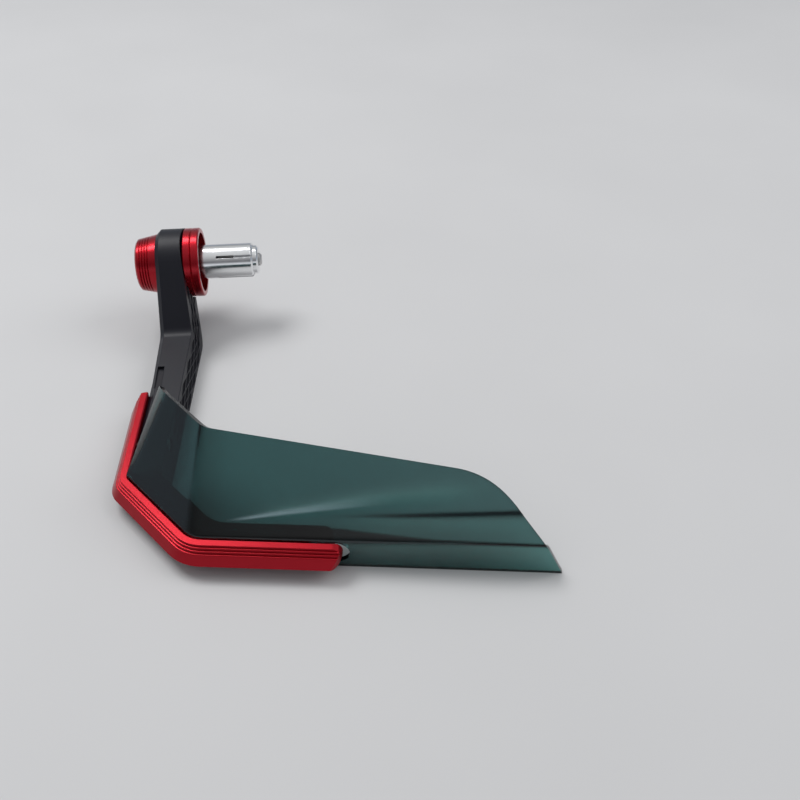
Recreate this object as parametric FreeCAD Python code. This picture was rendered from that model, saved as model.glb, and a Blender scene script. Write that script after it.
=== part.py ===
import FreeCAD, Part
import math
import os

# Motorcycle lever guard for the right-hand bar end, with a smoked wind deflector.
# Millimetres. The X axis is the handlebar axis and +X points inboard, along the expander plug.
# The origin is on that axis at the inboard face of the spacer ring.
# +Z is up and -Y is forward. The guard lies on a level surface, bar_axis_height below the origin.

V = FreeCAD.Vector

# Handlebar end: a bolt pulls a cone nut into a slit sleeve, which grips the bore of the bar.
bar_axis_height = 31.5
ring_diameter = 32.0
ring_width = 7.2
ring_edge = 0.5
ring_groove_width = 0.8
ring_groove_depth = 0.5
cup_depth = 5.0
cup_rim = 2.3
plug_diameter = 16.0
plug_reach = 23.8
plug_edge = 0.8
plug_bore = 10.0
slit_width = 1.2
slit_count = 4
slit_solid = 7.0
nut_small_diameter = 9.4
nut_large_diameter = 13.4
nut_cone_length = 9.0
nut_head_length = 2.4
nut_clearance = 0.2
bolt_diameter = 6.0
bolt_clearance = 0.4
bolt_nub = 1.4
bolt_tip_diameter = 4.4
head_diameter = 10.0
head_height = 6.0
head_clearance = 0.5
head_sink = 0.6
key_across_flats = 5.0
key_depth = 3.0

# Outboard cap: a turned cone with rings.
cap_length = 9.8
cap_base_diameter = 27.9
cap_end_diameter = 23.6
cap_end_edge = 0.8
cap_groove_count = 4
cap_groove_pitch = 1.3
cap_groove_width = 0.7
cap_groove_depth = 0.5
cap_groove_start = 1.5

# Arm: an eye on the bolt, a leg that drops at a slope, then a level bar that turns twice.
eye_width = 12.5
eye_diameter = 32.0
ring_seat_clearance = 0.4
leg_slope = 53.5
leg_depth = 16.0
heel_radius = 9.0
bend_radius = 5.0
arm_height_rear = 14.5
arm_height_front = 12.5
level_end = -88.0
arm_bevel = 2.0
inner_face_x = -2.8
inner_face_lean = 0.13
inner_face_drift = 0.047

# Route of the outer side in plan: the side run, the slanted run and the front run.
side_start_y = -54.0
side_heading = 2.0
corner_one_y = -120.8
slant_heading = 50.3
slant_length = 41.8
front_heading = 7.4
corner_one_radius = 4.0
corner_two_radius = 11.0
arm_front_length = 51.2
arm_slant_thickness = 8.6
arm_front_thickness = 6.2
inner_corner_one_radius = 8.0
inner_corner_two_radius = 14.0
arm_end_radius = 4.0
arm_overlap = 2.0

# Moulded lattice of long diamonds sunk into the inner face of the arm.
lattice_rows = 5
diamond_length = 13.0
diamond_width = 3.4
lattice_row_pitch = 2.0
lattice_step = 14.6
lattice_depth = 0.8
lattice_start = 15.5
lattice_count = 6
lattice_path_radius = 12.0

# Shallow slot in the top of the arm behind the deflector's corner.
tab_slot_width = 3.0
tab_slot_length = 14.0
tab_slot_depth = 1.2
tab_slot_x = -16.6
tab_slot_y = -62.0

# Guard bar: an anodised rail with three grooves in its sloping face.
rail_bottom = 6.0
rail_top = 13.2
rail_top_width = 2.8
rail_slope_out = 2.3
rail_slope_drop = 3.3
rail_foot_out = 2.1
rail_edge = 0.4
rail_groove_count = 3
rail_groove_pitch = 1.25
rail_groove_width = 0.8
rail_groove_depth = 0.5
rail_start = 17.2
rail_past_arm = 3.8
rail_end_radius = 8.0
rail_rear_radius = 7.3

# Lug on the back of the rail that passes through the deflector to the arm.
lug_length = 11.0
lug_height = 7.0
lug_end_gap = 2.0
slot_end_gap = 2.4
slot_height = 10.0
slot_start_gap = 0.6
lug_centre_height = 7.6

# Wind deflector: a folded sheet with a vertical foot, creases and a swept tip.
sheet = 2.0
sheet_gap = 0.15
foot_start = 2.3
foot_clearance = 0.2
foot_height = 13.4
foot_height_tip = 15.2
foot_bend = 2.4
foot_bend_middle = 5.0
top_height = 42.2
slant_lean = 22.4
slant_top_heading = 52.0
front_lean = 27.6
top_heading = 8.5
top_slope = 9.7
top_kink_radius = 7.0
fold_stations = 7
crease_start = 62.0
crease_middle = 102.0
sheet_end = 140.0
crease_inset = 9.0
crease_inset_tip = 11.6
crease_height = 18.7
crease_band = 1.4
crease_step = 1.7
tip_panel_slope = 20.0
spare = 6.0
tip_x = 138.0
nose_x = 130.9
shoulder_x = 124.2
shoulder_radius = 32.0
top_round = 14.0
panel_view_lean = 50.0
tip_radius = 1.5
edge_start = -0.6
edge_flare = 6.4
edge_drop = 2.8
edge_stations = 3

# Fixing screws, from the inner side through the arm and the deflector into the rail.
screw_diameter = 3.0
screw_clearance = 0.3
screw_head_diameter = 5.5
screw_head_height = 1.8
screw_head_sink = 0.5
screw_pocket_reach = 4.0
screw_grip = 3.8
screw_height = 9.2
side_screw_y = -100.0
slant_screw_share = 0.5

floor = -bar_axis_height
eye_inboard = -ring_width
eye_outboard = eye_inboard - eye_width
cap_outboard = eye_outboard - cap_length
sheet_room = sheet + 2.0 * sheet_gap
rail_front_length = arm_front_length + rail_past_arm


def plan(x, y):
    return V(x, y, floor)


def turned(profile):
    """Solid turned about the bar axis from (x, radius) points."""
    points = [V(x, 0, r) for x, r in profile]
    face = Part.Face(Part.makePolygon(points + points[:1]))
    return face.revolve(V(0, 0, 0), V(1, 0, 0), 360)


def shaft(diameter, start, end):
    return Part.makeCylinder(diameter / 2.0, end - start, V(start, 0, 0), V(1, 0, 0))


def grooved(a, b, centres, width, depth):
    """Points of the line from a to b with a vee groove, sunk to its right, at each centre along it."""
    length = math.hypot(b[0] - a[0], b[1] - a[1])
    along = ((b[0] - a[0]) / length, (b[1] - a[1]) / length)
    inward = (along[1], -along[0])
    points = [a]
    for centre in centres:
        for shift, sink in ((-width / 2.0, 0.0), (0.0, depth), (width / 2.0, 0.0)):
            s = centre + shift
            points.append((a[0] + along[0] * s + inward[0] * sink, a[1] + along[1] * s + inward[1] * sink))
    return points + [b]


def meet(p, d, q, e):
    """Point where the line through p along d meets the line through q along e."""
    cross = d[0] * e[1] - d[1] * e[0]
    k = ((q[0] - p[0]) * e[1] - (q[1] - p[1]) * e[0]) / cross
    return (p[0] + d[0] * k, p[1] + d[1] * k)


def shifted(p, d, distance):
    return (p[0] + d[0] * distance, p[1] + d[1] * distance)


def rounded(points, radii, place, closed):
    """Edges of a polyline whose corners are rounded; place turns (a, b) into a point in space."""
    count = len(points)
    ends = []
    for i in range(count):
        corner = points[i]
        radius = radii[i]
        if radius == 0 or (not closed and i in (0, count - 1)):
            ends.append((corner, None, corner))
            continue
        before = points[i - 1]
        after = points[(i + 1) % count]
        back = math.hypot(before[0] - corner[0], before[1] - corner[1])
        ahead = math.hypot(after[0] - corner[0], after[1] - corner[1])
        to_before = ((before[0] - corner[0]) / back, (before[1] - corner[1]) / back)
        to_after = ((after[0] - corner[0]) / ahead, (after[1] - corner[1]) / ahead)
        half = 0.5 * math.acos(to_before[0] * to_after[0] + to_before[1] * to_after[1])
        cut = radius / math.tan(half)
        middle = (to_before[0] + to_after[0], to_before[1] + to_after[1])
        size = math.hypot(middle[0], middle[1])
        middle = (middle[0] / size, middle[1] / size)
        depth = radius / math.sin(half) - radius
        ends.append((shifted(corner, to_before, cut), shifted(corner, middle, depth),
                     shifted(corner, to_after, cut)))
    edges = []
    for i in range(count):
        start, middle, end = ends[i]
        if middle is not None:
            edges.append(Part.Arc(place(*start), place(*middle), place(*end)).toShape())
        if i < count - 1 or closed:
            following = ends[(i + 1) % count][0]
            edges.append(Part.LineSegment(place(*end), place(*following)).toShape())
    return edges


def heading(degrees):
    """Plan direction of a run that turns inboard from straight ahead."""
    return (math.cos(math.radians(degrees)), -math.sin(math.radians(degrees)))


def inward(direction):
    """Plan normal of a run, towards the hand."""
    return (-direction[1], direction[0])


# Corners of the outer route in plan.
side_run = (-math.sin(math.radians(side_heading)), -math.cos(math.radians(side_heading)))
slant_run = heading(slant_heading)
front_run = heading(front_heading)
side_in = inward(side_run)
slant_in = inward(slant_run)
front_in = inward(front_run)
route_start = (eye_outboard, side_start_y)
corner_one = shifted(route_start, side_run, (side_start_y - corner_one_y) / -side_run[1])
corner_two = shifted(corner_one, slant_run, slant_length)
top_kink = meet(shifted(corner_one, slant_in, slant_lean), slant_run,
                shifted(corner_two, front_in, front_lean), front_run)
slant_top_run = heading(slant_top_heading)
front_top_run = heading(top_heading)


def inner_face(y, z):
    """X of the arm's leaning inner face."""
    return inner_face_x - inner_face_lean * (z - floor) + inner_face_drift * (y - heel_y)


# Side view of the arm, in (y, z).
leg_down = (-math.cos(math.radians(leg_slope)), -math.sin(math.radians(leg_slope)))
leg_front = (leg_down[1], -leg_down[0])
eye_radius = eye_diameter / 2.0
front_tangent = (leg_front[0] * eye_radius, leg_front[1] * eye_radius)
back_offset = eye_radius - leg_depth
back_reach = math.sqrt(eye_radius ** 2 - back_offset ** 2)
back_foot = shifted(shifted((0.0, 0.0), leg_front, back_offset), leg_down, back_reach)
heel_y = meet(back_foot, leg_down, (0.0, floor), (1.0, 0.0))[0]
bend = meet(front_tangent, leg_down, (0.0, floor + arm_height_rear), (1.0, 0.0))


def arm_rear():
    """Eye, leg and the start of the level bar: one side view, trimmed by the two side faces."""
    def side(y, z):
        return V(eye_outboard, y, z)
    outline = [back_foot, (heel_y, floor), (level_end, floor), (level_end, floor + arm_height_front),
               bend, front_tangent]
    edges = rounded(outline, [0, heel_radius, 0, 0, bend_radius, 0], side, False)
    crown = Part.Arc(side(*front_tangent), side(eye_radius, 0), side(*back_foot)).toShape()
    width = -eye_outboard
    body = Part.Face(Part.Wire(edges + [crown])).extrude(V(width, 0, 0))
    rim = [e for e in body.Edges if all(abs(v.Point.x - eye_outboard) < 1e-6 for v in e.Vertexes)
           and e.CenterOfMass.z > floor + arm_height_front / 2.0 and e.CenterOfMass.y > level_end + 1.0
           and not on_leg_back(e)]
    body = body.makeChamfer(arm_bevel, rim)
    corners = []
    for z in (floor - 1.0, eye_radius + 1.0):
        far = eye_radius + 1.0
        ring = [V(eye_outboard - 1, far, z), V(eye_outboard - 1, level_end - 1, z),
                V(inner_face(level_end - 1, z), level_end - 1, z), V(inner_face(far, z), far, z)]
        corners.append(Part.makePolygon(ring + ring[:1]))
    return body.common(Part.makeLoft(corners, True, True))


def on_leg_back(edge):
    """True for the straight edge down the back of the leg, which stays square."""
    middle = edge.CenterOfMass
    reach = abs((middle.y - back_foot[0]) * leg_front[0] + (middle.z - back_foot[1]) * leg_front[1])
    return edge.Curve.TypeId == "Part::GeomLine" and reach < 1e-3


def arm_front():
    """Level bar from the side run round both corners, drawn at its foot and at its top."""
    wires = []
    for z in (floor, floor + arm_height_front):
        lean = inner_face_lean * (floor + arm_height_front - z)
        joint_y = side_start_y - arm_overlap
        outer_joint = meet(route_start, side_run, (0.0, joint_y), (1.0, 0.0))
        slant_outer = shifted(corner_one, slant_in, sheet_room)
        front_outer = shifted(corner_two, front_in, sheet_room)
        slant_inner = shifted(slant_outer, slant_in, arm_slant_thickness + lean)
        front_inner = shifted(front_outer, front_in, arm_front_thickness + lean)
        end = shifted(front_outer, front_run, arm_front_length)
        inner_joint = (inner_face(joint_y, z), joint_y)
        inner_side = (inner_face_drift, 1.0)
        outline = [outer_joint,
                   meet(route_start, side_run, slant_outer, slant_run),
                   meet(slant_outer, slant_run, front_outer, front_run),
                   end,
                   shifted(end, front_in, arm_front_thickness + lean),
                   meet(slant_inner, slant_run, front_inner, front_run),
                   meet(inner_joint, inner_side, slant_inner, slant_run),
                   inner_joint]
        radii = [0, 0, corner_two_radius - sheet_room, 0, arm_end_radius, inner_corner_two_radius,
                 inner_corner_one_radius, 0]
        wires.append(Part.Wire(rounded(outline, radii, lambda x, y: V(x, y, z), True)))
        outer_line = Part.Wire(rounded(outline[:4], radii[:4], lambda x, y: V(x, y, z), False))
    body = Part.makeLoft(wires, True, True)
    rim = [e for e in body.Edges if outer_line.distToShape(Part.Vertex(middle_of(e)))[0] < 1e-4]
    return body.makeChamfer(arm_bevel, rim)


def middle_of(edge):
    return edge.valueAt((edge.FirstParameter + edge.LastParameter) / 2.0)


def lattice():
    """Diamond prisms laid along the middle of the arm's inner face, round the bend."""
    middle = leg_depth / 2.0
    leg_middle = shifted((0.0, 0.0), leg_front, back_offset + middle)
    level_middle = (0.0, floor + arm_height_front / 2.0)
    turn = meet(leg_middle, leg_down, level_middle, (1.0, 0.0))
    turn_angle = math.radians(leg_slope)
    cut = lattice_path_radius * math.tan(turn_angle / 2.0)
    leg_length = math.hypot(turn[0] - leg_middle[0], turn[1] - leg_middle[1]) - cut
    arc_length = lattice_path_radius * turn_angle
    arc_centre = shifted(shifted(leg_middle, leg_down, leg_length), leg_front, lattice_path_radius)

    def on_path(s, t):
        """Point at length s along the middle line and t to its front."""
        if s < leg_length:
            return shifted(shifted(leg_middle, leg_down, s), leg_front, t)
        bent = min(1.0, (s - leg_length) / arc_length) * turn_angle
        facing = (leg_front[0] * math.cos(bent) - leg_down[0] * math.sin(bent),
                  leg_front[1] * math.cos(bent) - leg_down[1] * math.sin(bent))
        point = shifted(arc_centre, facing, t - lattice_path_radius)
        past = max(0.0, s - leg_length - arc_length)
        return (point[0] - past, point[1])

    cuts = []
    for row in range(lattice_rows):
        t = (row - (lattice_rows - 1) / 2.0) * lattice_row_pitch
        for step in range(lattice_count):
            s = lattice_start + (step + 0.5 * (row % 2)) * lattice_step
            ring = []
            for ds, dt in ((-0.5, 0.0), (0.0, -0.5), (0.5, 0.0), (0.0, 0.5)):
                y, z = on_path(s + ds * diamond_length, t + dt * diamond_width)
                ring.append(V(inner_face(y, z) - lattice_depth, y, z))
            face = Part.Face(Part.makePolygon(ring + ring[:1]))
            cuts.append(face.extrude(V(2.0 * lattice_depth, 0, 0)))
    return cuts


def screw_places():
    """Each fixing screw: where its axis meets the outer face of the arm, and its plan direction outward."""
    side_point = meet(route_start, side_run, (0.0, side_screw_y), (1.0, 0.0))
    slant_middle = shifted(corner_one, slant_run, slant_length * slant_screw_share)
    slant_point = shifted(slant_middle, slant_in, sheet_room)
    lug_middle = shifted(shifted(corner_two, front_run, lug_centre()), front_in, sheet_room)
    return [(side_point, side_in, screw_height, 0.0),
            (slant_point, slant_in, screw_height, sheet_room),
            (lug_middle, front_in, lug_centre_height, 0.0)]


def lug_centre():
    return rail_front_length - lug_end_gap - lug_length / 2.0


def arm_thickness(place):
    """Thickness of the arm at a screw, along the screw."""
    index = screw_places().index(place)
    lean = inner_face_lean * (arm_height_front - place[2])
    if index == 0:
        inner_x = inner_face(side_screw_y, floor + place[2])
        return (inner_x - place[0][0]) / place[1][0]
    return (arm_slant_thickness, arm_front_thickness)[index - 1] + lean


def screw_solid(place, play):
    """A fixing screw along its axis; play widens it into the hole it needs."""
    point, normal, height, gap = place
    thickness = arm_thickness(place)
    seat = thickness - screw_head_sink - screw_head_height
    axis = V(-normal[0], -normal[1], 0)
    base = V(point[0], point[1], floor + height)
    reach = gap + screw_grip
    shank = Part.makeCylinder((screw_diameter + play) / 2.0, seat + reach, base - axis * seat, axis)
    head_length = screw_head_height if play == 0 else screw_head_height + screw_pocket_reach
    head = Part.makeCylinder((screw_head_diameter + 2 * play) / 2.0, head_length, base - axis * seat, -axis)
    return shank.fuse(head).removeSplitter()


def guard_arm():
    body = arm_rear().fuse(arm_front())
    body = body.cut(shaft(ring_diameter + 2.0 * ring_seat_clearance, eye_inboard, eye_radius))
    body = body.cut(shaft(bolt_diameter + bolt_clearance, eye_outboard - 1.0, 0.0))
    slot = Part.makeBox(tab_slot_width, tab_slot_length, 2.0 * tab_slot_depth)
    slot.translate(V(tab_slot_x - tab_slot_width / 2.0, tab_slot_y - tab_slot_length / 2.0, 0))
    fall = (arm_height_rear - arm_height_front) / (bend[0] - level_end)
    top_here = arm_height_rear - fall * (bend[0] - tab_slot_y)
    slot.translate(V(0, 0, floor + top_here - tab_slot_depth))
    body = body.cut(slot)
    body = body.cut(Part.makeCompound(lattice()))
    for place in screw_places():
        body = body.cut(screw_solid(place, screw_clearance))
    return body.removeSplitter()


def rail_profile():
    """Section of the guard bar in (out, height above the table), grooves included."""
    slope_top = (rail_top_width, rail_top)
    slope_foot = (rail_top_width + rail_slope_out, rail_top - rail_slope_drop)
    length = math.hypot(rail_slope_out, rail_slope_drop)
    first = (length - (rail_groove_count - 1) * rail_groove_pitch) / 2.0
    centres = [first + i * rail_groove_pitch for i in range(rail_groove_count)]
    face = grooved(slope_top, slope_foot, centres, rail_groove_width, rail_groove_depth)
    foot = (slope_foot[0] + rail_foot_out, rail_bottom)
    return [(0.0, rail_bottom), (0.0, rail_top - rail_edge), (rail_edge, rail_top)] + face + [
        (foot[0], foot[1] + rail_edge), (foot[0] - rail_edge, foot[1])]


def rail_path():
    start = shifted(route_start, side_run, rail_start)
    end = shifted(corner_two, front_run, rail_front_length)
    radii = [0, corner_one_radius, corner_two_radius, 0]
    edges = rounded([start, corner_one, corner_two, end], radii, plan, False)
    return start, end, Part.Wire(edges)


def rounded_end(point, run, outward, radius):
    """Block past a rail end, less the round that the end keeps in plan."""
    reach = radius + 2.0
    block_height = rail_top + 2.0
    centre = shifted(point, run, -radius)
    ring = [shifted(centre, outward, -reach), shifted(centre, outward, reach)]
    ring = [ring[0], ring[1], shifted(ring[1], run, reach), shifted(ring[0], run, reach)]
    points = [plan(*p) for p in ring]
    block = Part.Face(Part.makePolygon(points + points[:1])).extrude(V(0, 0, block_height))
    keep = Part.makeCylinder(radius, block_height, plan(*centre))
    return block.cut(keep)


def half_round_end(point):
    """Block past the rail's front end, less the half round that the end keeps in front view."""
    radius = (rail_top - rail_bottom) / 2.0
    depth = 4.0 * radius
    centre = shifted(shifted(point, front_run, -radius), front_in, -depth / 2.0)
    ahead = shifted(centre, front_run, 2.0 * radius)
    low = floor + rail_bottom - radius
    high = floor + rail_top + radius
    ring = [V(centre[0], centre[1], low), V(ahead[0], ahead[1], low),
            V(ahead[0], ahead[1], high), V(centre[0], centre[1], high)]
    through = V(front_in[0], front_in[1], 0)
    block = Part.Face(Part.makePolygon(ring + ring[:1])).extrude(through * depth)
    middle = V(centre[0], centre[1], floor + (rail_bottom + rail_top) / 2.0)
    return block.cut(Part.makeCylinder(radius, depth, middle, through))


def stadium(run_start, length, height, centre_height, depth_from, depth_to):
    """Round-ended bar across the front run: its length along the run, its depth through it."""
    radius = height / 2.0
    def face_point(s, z):
        p = shifted(shifted(corner_two, front_run, run_start + s), front_in, depth_from)
        return V(p[0], p[1], floor + centre_height + z)
    edges = [Part.LineSegment(face_point(radius, -radius), face_point(length - radius, -radius)).toShape(),
             Part.Arc(face_point(length - radius, -radius), face_point(length, 0),
                      face_point(length - radius, radius)).toShape(),
             Part.LineSegment(face_point(length - radius, radius), face_point(radius, radius)).toShape(),
             Part.Arc(face_point(radius, radius), face_point(0, 0), face_point(radius, -radius)).toShape()]
    through = depth_to - depth_from
    return Part.Face(Part.Wire(edges)).extrude(V(front_in[0] * through, front_in[1] * through, 0))


def guard_bar():
    start, end, path = rail_path()
    outward = (-side_in[0], -side_in[1])
    points = []
    for out, height in rail_profile():
        p = shifted(start, outward, out)
        points.append(V(p[0], p[1], floor + height))
    bar = path.makePipeShell([Part.makePolygon(points + points[:1])], True, False)
    bar = bar.cut(rounded_end(start, (-side_run[0], -side_run[1]), outward, rail_rear_radius))
    bar = bar.cut(rounded_end(end, front_run, (-front_in[0], -front_in[1]), rail_end_radius))
    bar = bar.cut(half_round_end(end))
    lug_start = lug_centre() - lug_length / 2.0
    lug = stadium(lug_start, lug_length, lug_height, lug_centre_height, -1.0, sheet_room)
    bar = bar.fuse(lug)
    for place in screw_places():
        bar = bar.cut(screw_solid(place, 0.0))
    return bar.removeSplitter()


def fold_arc(corner, before, after, radius, share):
    """Point at a share of the way round the arc that rounds a corner between two plan runs."""
    turn = math.acos(before[0] * after[0] + before[1] * after[1])
    centre = shifted(shifted(corner, before, -radius * math.tan(turn / 2.0)), inward(before), radius)
    angle = turn * share
    outward_start = (-inward(before)[0], -inward(before)[1])
    facing = (outward_start[0] * math.cos(angle) + before[0] * math.sin(angle),
              outward_start[1] * math.cos(angle) + before[1] * math.sin(angle))
    return shifted(centre, facing, radius)


def top_edge_height(x):
    """Height of the deflector's top edge over the table, level up to the kink and then falling."""
    return top_height - math.tan(math.radians(top_slope)) * max(0.0, x - top_kink[0])


def on_panel(inset, foot, top):
    """Height at an inset on the straight line from the top of the foot to the top edge."""
    return foot + (top[1] - foot) * inset / top[0]


def plain_profile(lean, top_z):
    """Corners of a section with no crease: the crease points lie on the straight panel."""
    top = (lean, top_z)
    low = (crease_inset, on_panel(crease_inset, foot_height, top))
    high = (crease_inset + crease_band, on_panel(crease_inset + crease_band, foot_height, top))
    return [low, high, top]


def lowered(profile, drop):
    """The same section sunk square to its panel, by nothing at the foot and by drop at the top."""
    top = profile[-1]
    rise = top[1] - foot_height
    size = math.hypot(top[0], rise)
    return [(r + drop * r / top[0] * rise / size, z - drop * r / top[0] * top[0] / size) for r, z in profile]


def across(foot_point, top_point):
    """Length and plan direction from a point on the foot to the top edge above it."""
    lean = math.hypot(top_point[0] - foot_point[0], top_point[1] - foot_point[1])
    return lean, ((top_point[0] - foot_point[0]) / lean, (top_point[1] - foot_point[1]) / lean)


def deflector_stations():
    """Sections along the sheet: foot point, plan direction inward, bend radius, foot and corners."""
    stations = []
    for i in range(edge_stations):
        share = i / (edge_stations - 1.0)
        foot_point = shifted(corner_one, slant_run, edge_start + (foot_start - edge_start) * share)
        square_top = meet(foot_point, slant_in, top_kink, slant_top_run)
        top_point = shifted(square_top, slant_top_run, -edge_flare * (1.0 - share))
        lean, facing = across(foot_point, top_point)
        profile = lowered(plain_profile(lean, top_height), edge_drop * (1.0 - share) ** 2)
        stations.append((foot_point, facing, foot_bend, foot_height, profile))
    for i in range(fold_stations):
        share = i / (fold_stations - 1.0)
        foot_point = fold_arc(corner_two, slant_run, front_run, corner_two_radius, share)
        top_point = fold_arc(top_kink, slant_top_run, front_top_run, top_kink_radius, share)
        lean, facing = across(foot_point, top_point)
        stations.append((foot_point, facing, foot_bend, foot_height, plain_profile(lean, top_height)))
    for distance in (crease_start, crease_middle, sheet_end):
        foot_point = shifted(corner_two, front_run, distance)
        top_point = meet(foot_point, front_in, top_kink, front_top_run)
        lean, facing = across(foot_point, top_point)
        if distance == crease_start:
            profile = plain_profile(lean, top_edge_height(top_point[0]))
            stations.append((foot_point, facing, foot_bend_middle, foot_height, profile))
            continue
        low = (crease_inset_tip, crease_height)
        high = (crease_inset_tip + crease_band, crease_height + crease_step)
        top_z = top_edge_height(top_point[0])
        if distance == sheet_end:
            top_z = high[1] + (lean - high[0]) * math.tan(math.radians(tip_panel_slope))
        stations.append((foot_point, facing, foot_bend, foot_height_tip, [low, high, (lean, top_z)]))
    return stations


def sheet_section(station):
    """Closed outline of the sheet at a station, its outer line offset by the sheet's thickness."""
    foot_point, facing, bend_here, foot, corners = station

    def place(r, z):
        p = shifted(foot_point, facing, r + sheet_gap)
        return V(p[0], p[1], floor + z)

    last, top = corners[-2], corners[-1]
    stretch = math.hypot(top[0] - last[0], top[1] - last[1])
    past_top = shifted(top, ((top[0] - last[0]) / stretch, (top[1] - last[1]) / stretch), spare)
    outer = [(0.0, -spare), (0.0, foot)] + corners[:-1] + [past_top]
    runs = []
    for a, b in zip(outer, outer[1:]):
        length = math.hypot(b[0] - a[0], b[1] - a[1])
        runs.append(((b[0] - a[0]) / length, (b[1] - a[1]) / length))
    under = [(d[1], -d[0]) for d in runs]
    inner = [shifted(outer[0], under[0], sheet)]
    for corner, a, b in zip(outer[1:], under, under[1:]):
        mitre = 1.0 + a[0] * b[0] + a[1] * b[1]
        inner.append(shifted(corner, (a[0] + b[0], a[1] + b[1]), sheet / mitre))
    inner.append(shifted(outer[-1], under[-1], sheet))
    outline = outer + inner[::-1]
    radii = [0.0] * len(outline)
    radii[1] = bend_here
    radii[-2] = bend_here - sheet
    return Part.Wire(rounded(outline, radii, place, True))


def kept_panel():
    """Outline seen square to the panels: the bent top edge, the round shoulder and the free edge."""
    lean = math.radians(panel_view_lean)
    through = V(0, -math.sin(lean), math.cos(lean))
    up = V(0, math.cos(lean), math.sin(lean))

    def seen(point, height):
        return (point[0], point[1] * math.cos(lean) + (floor + height) * math.sin(lean))

    def on_front(x, inset):
        base = shifted(corner_two, front_in, inset)
        return shifted(base, front_run, (x - base[0]) / front_run[0])

    far = 4.0 * slant_length
    kink = seen(top_kink, top_height)
    past_kink = shifted(top_kink, front_top_run, slant_length)
    top_end = seen(past_kink, top_edge_height(past_kink[0]))
    nose = seen(on_front(nose_x, 0.0), foot_height_tip)
    crease_end = seen(on_front(shoulder_x, crease_inset_tip), crease_height)
    top_run = (top_end[0] - kink[0], top_end[1] - kink[1])
    free_run = (nose[0] - crease_end[0], nose[1] - crease_end[1])
    corners = [seen(shifted(top_kink, slant_top_run, -far), top_height), kink,
               meet(kink, top_run, nose, free_run), shifted(nose, free_run, far / slant_length),
               (-far, -2.0 * far)]
    radii = [0, top_round, shoulder_radius, 0, 0]
    wire = Part.Wire(rounded(corners, radii, lambda x, v: V(x, 0, 0) + up * v, True))
    return Part.Face(wire).extrude(through * (2.0 * far))


def kept_foot():
    """Outline in front view: the foot stands on the table and slopes from the tip to the nose."""
    far = 4.0 * slant_length
    high = 2.0 * top_height
    upper_x = tip_x + (nose_x - tip_x) * high / foot_height_tip
    corners = [(-far, 0.0), (tip_x, 0.0), (upper_x, high), (-far, high)]
    wire = Part.Wire(rounded(corners, [0, tip_radius, 0, 0], lambda x, z: V(x, 0, floor + z), True))
    return Part.Face(wire).extrude(V(0, -2.0 * far, 0))


def corner_notch():
    """Room at the outer corner, where the foot stops short and only the panel passes over the rail."""
    start = shifted(shifted(corner_one, slant_run, foot_start), slant_in, -spare)
    reach = 2.0 * spare
    ring = [start, shifted(start, slant_run, -reach)]
    ring = ring + [shifted(ring[1], slant_in, 2.0 * reach), shifted(start, slant_in, 2.0 * reach)]
    points = [plan(*p) for p in ring]
    return Part.Face(Part.makePolygon(points + points[:1])).extrude(V(0, 0, rail_top + foot_clearance))


def wind_deflector():
    body = Part.makeLoft([sheet_section(s) for s in deflector_stations()], True, True)
    body = body.common(kept_panel()).common(kept_foot()).cut(corner_notch())
    lug_start = lug_centre() - lug_length / 2.0
    slot_start = lug_start - slot_start_gap
    slot_length = rail_front_length + slot_end_gap - slot_start
    body = body.cut(stadium(slot_start, slot_length, slot_height, lug_centre_height, -1.0, sheet_room + 1.0))
    for place in screw_places():
        body = body.cut(screw_solid(place, screw_clearance))
    return body


def spacer_ring():
    radius = ring_diameter / 2.0
    rim = grooved((-ring_width + ring_edge, radius), (-ring_edge, radius), [ring_width / 2.0 - ring_edge],
                  ring_groove_width, ring_groove_depth)
    hole = (bolt_diameter + bolt_clearance) / 2.0
    return turned([(-ring_width, hole), (-ring_width, radius - ring_edge)] + rim + [
        (0.0, radius - ring_edge), (0.0, radius - cup_rim), (-cup_depth, radius - cup_rim),
        (-cup_depth, hole)])


def bar_end_cap():
    base = cap_base_diameter / 2.0
    end = cap_end_diameter / 2.0
    slope_end = (cap_outboard + cap_end_edge, end + cap_end_edge * (base - end) / cap_length)
    centres = [cap_groove_start + i * cap_groove_pitch for i in range(cap_groove_count)]
    cone = grooved(slope_end, (eye_outboard, base), centres, cap_groove_width, cap_groove_depth)
    pocket = (head_diameter + 2.0 * head_clearance) / 2.0
    hole = (bolt_diameter + bolt_clearance) / 2.0
    seat = cap_outboard + head_sink + head_height
    return turned([(cap_outboard, pocket), (cap_outboard, end - cap_end_edge)] + cone + [
        (eye_outboard, hole), (seat, hole), (seat, pocket)])


def expander_sleeve():
    outer = plug_diameter / 2.0
    mouth = nut_large_diameter / 2.0 + nut_clearance
    throat = plug_bore / 2.0
    cone_start = plug_reach - nut_cone_length
    sleeve = turned([(-cup_depth, throat), (-cup_depth, outer), (plug_reach - plug_edge, outer),
                     (plug_reach, outer - plug_edge), (plug_reach, mouth), (cone_start, throat)])
    for i in range(slit_count):
        slit = Part.makeBox(plug_reach, slit_width, plug_diameter,
                            V(slit_solid, -slit_width / 2.0, 0))
        slit.rotate(V(0, 0, 0), V(1, 0, 0), 45.0 + i * 360.0 / slit_count)
        sleeve = sleeve.cut(slit)
    return sleeve


def cone_nut():
    small = nut_small_diameter / 2.0
    large = nut_large_diameter / 2.0
    thread = bolt_diameter / 2.0
    start = plug_reach - nut_cone_length
    end = plug_reach + nut_head_length
    return turned([(start, thread), (start, small), (plug_reach, large), (end - plug_edge, large),
                   (end, large - plug_edge), (end, thread)])


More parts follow.
